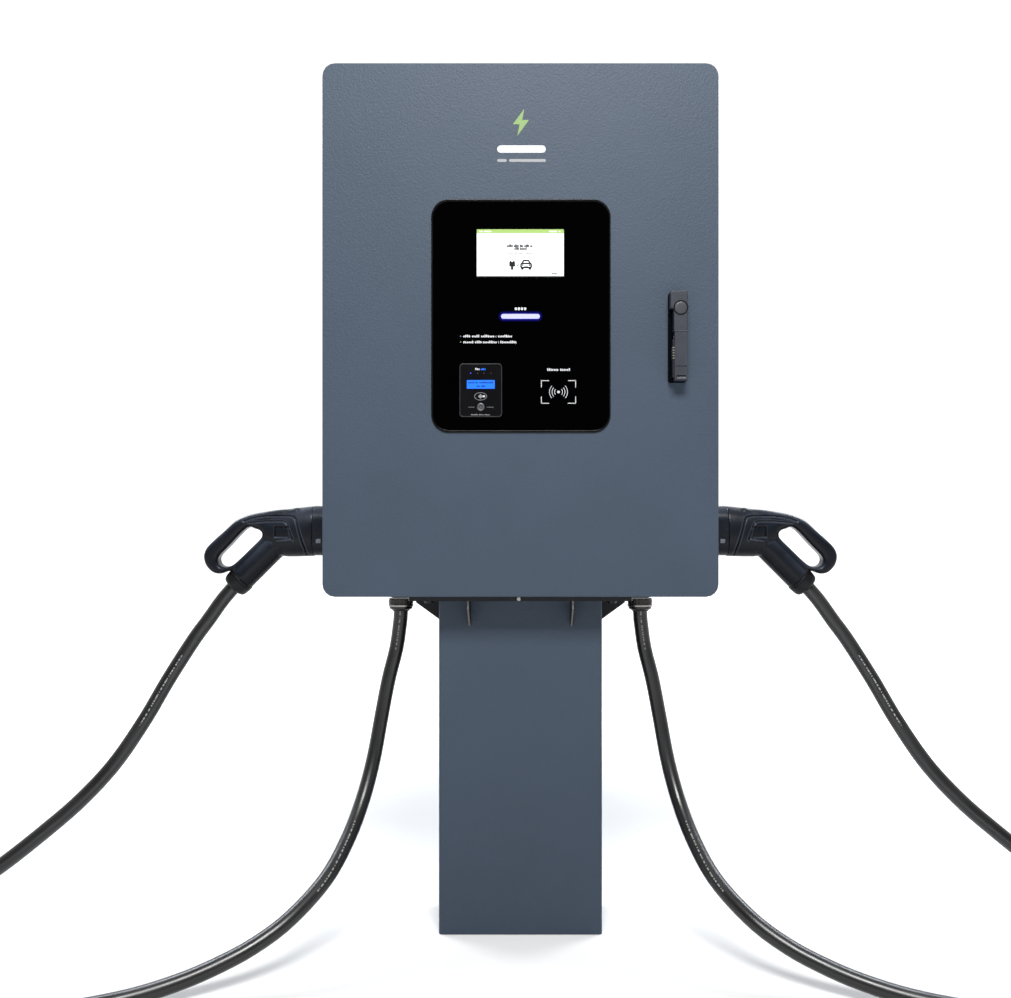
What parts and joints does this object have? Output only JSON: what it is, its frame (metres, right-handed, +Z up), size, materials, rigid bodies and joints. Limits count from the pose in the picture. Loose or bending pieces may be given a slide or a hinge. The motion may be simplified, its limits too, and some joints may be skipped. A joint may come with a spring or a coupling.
{
  "type": "ev charging post",
  "caption": "Dual-outlet EV charging post: lockable steel cabinet on a folded steel post, with fascia, swing handle, and two cabled plugs in side holsters.",
  "frame": {"origin": "on the ground, under the middle of the post", "axes": "+X to the viewer's right, +Y towards the back, so the door faces -Y, +Z up"},
  "size_m": [2.552, 0.6613, 1.558],
  "materials": {
    "powder_coat": "slate grey-blue textured powder coat",
    "fascia_glass": "toughened glass printed black on the back, glossy",
    "screen": "lit display",
    "light_diffuser": "milky light guide, lit",
    "black_plastic": "moulded, fine texture",
    "gun_plastic": "moulded, satin",
    "reader_plastic": "glossy black housing",
    "handle_metal": "black powder-coated die-cast zinc",
    "seal_rubber": "foamed seal",
    "cable_rubber": "extruded rubber sheath, satin",
    "zinc_steel": "zinc plated",
    "gland_metal": "nickel-plated brass, satin",
    "aluminium": "plain",
    "circuit_board": "solder mask green",
    "orange_plastic": "moulded"
  },
  "bodies": {
    "root": {"base_plate": "zinc_steel", "post_column": "powder_coat", "post_rear_cover": "powder_coat", "post_top_plate": "powder_coat", "gusset_front_left": "powder_coat", "gusset_front_right": "powder_coat", "gusset_side_left": "powder_coat", "gusset_side_right": "powder_coat", "cabinet_shell": "powder_coat", "rear_vent_cover": "powder_coat", "fan_frame_left": "black_plastic", "fan_frame_right": "black_plastic", "mounting_plate": "zinc_steel", "power_module_left": "aluminium", "power_module_right": "aluminium", "main_breaker": "black_plastic", "contactor": "black_plastic", "control_board": "circuit_board", "hinge_bracket_upper": "zinc_steel", "hinge_bracket_lower": "zinc_steel", "holster_left": "black_plastic", "holster_right": "black_plastic", "gland_body_left": "gland_metal", "gland_body_right": "gland_metal", "gland_nut_left": "gland_metal", "gland_nut_right": "gland_metal", "cable_drop_left": "cable_rubber", "cable_drop_right": "cable_rubber", "cable_coil_left": "cable_rubber", "cable_coil_right": "cable_rubber", "cable_rise_left": "cable_rubber", "cable_rise_right": "cable_rubber"},
    "door": {"door_panel": "powder_coat", "door_gasket": "seal_rubber", "front_glass": "fascia_glass", "touchscreen": "screen", "light_bar": "light_diffuser", "payment_reader": "reader_plastic", "display_back_cover": "zinc_steel", "hinge_pin_upper": "zinc_steel", "hinge_pin_lower": "zinc_steel", "handle_base": "handle_metal"},
    "reader_button_body": {"reader_button": "aluminium"},
    "handle_head": {"handle_hub": "handle_metal", "lever_pin": "zinc_steel", "latch_cam": "zinc_steel"},
    "lever": {"handle_lever": "handle_metal"},
    "lock_button_body": {"lock_button": "handle_metal"},
    "upper_rod_body": {"upper_rod": "zinc_steel"},
    "lower_rod_body": {"lower_rod": "zinc_steel"},
    "fan_left": {"fan_rotor_left": "black_plastic"},
    "fan_right": {"fan_rotor_right": "black_plastic"},
    "breaker_toggle": {"breaker_lever": "orange_plastic"},
    "gun_left": {"connector_body_left": "gun_plastic", "connector_nose_left": "gun_plastic", "connector_collar_left": "gun_plastic"},
    "gun_right": {"connector_body_right": "gun_plastic", "connector_nose_right": "gun_plastic", "connector_collar_right": "gun_plastic"}
  },
  "joints": [
    {"name": "door_hinge", "type": "hinge", "parent": "root", "child": "door", "pos_m": [-0.3415, -0.137, 1.09], "axis": [0, 0, -1], "range_deg": [0, 110]},
    {"name": "handle_swing", "type": "hinge", "parent": "door", "child": "handle_head", "pos_m": [0.2767, -0.1795, 1.128], "axis": [0, 1, 0], "range_deg": [0, 90]},
    {"name": "handle_lift", "type": "hinge", "parent": "handle_head", "child": "lever", "pos_m": [0.2767, -0.17, 1.0741], "axis": [-1, 0, 0], "range_deg": [0, 25]},
    {"name": "lock_button_press", "type": "slide", "parent": "handle_head", "child": "lock_button_body", "axis": [0, 1, 0], "range_m": [0, 0.0025], "stiffness_N_per_m": 400},
    {"name": "upper_rod_slide", "type": "slide", "parent": "door", "child": "upper_rod_body", "axis": [0, 0, -1], "range_m": [0, 0.0121]},
    {"name": "lower_rod_slide", "type": "slide", "parent": "door", "child": "lower_rod_body", "axis": [0, 0, 1], "range_m": [0, 0.0121]},
    {"name": "reader_button_press", "type": "slide", "parent": "door", "child": "reader_button_body", "axis": [0, 1, 0], "range_m": [0, 0.0012], "stiffness_N_per_m": 300},
    {"name": "gun_left_pull", "type": "slide", "parent": "root", "child": "gun_left", "axis": [-1, 0, 0], "range_m": [0, 0.075], "deforming": ["cable_rise_left"]},
    {"name": "gun_right_pull", "type": "slide", "parent": "root", "child": "gun_right", "axis": [1, 0, 0], "range_m": [0, 0.075], "deforming": ["cable_rise_right"]},
    {"name": "fan_left_spin", "type": "hinge", "parent": "root", "child": "fan_left", "pos_m": [-0.14, 0.1337, 1.4], "axis": [0, 1, 0], "continuous": true},
    {"name": "fan_right_spin", "type": "hinge", "parent": "root", "child": "fan_right", "pos_m": [0.14, 0.1337, 1.4], "axis": [0, 1, 0], "continuous": true},
    {"name": "breaker_toggle_throw", "type": "hinge", "parent": "root", "child": "breaker_toggle", "pos_m": [-0.205, 0.0492, 0.98], "axis": [1, 0, 0], "range_deg": [-40, 40]}
  ],
  "couplings": [
    {"joint": "upper_rod_slide", "follows": "handle_swing", "m_per_rad": 0.007639},
    {"joint": "lower_rod_slide", "follows": "handle_swing", "m_per_rad": 0.007639}
  ]
}
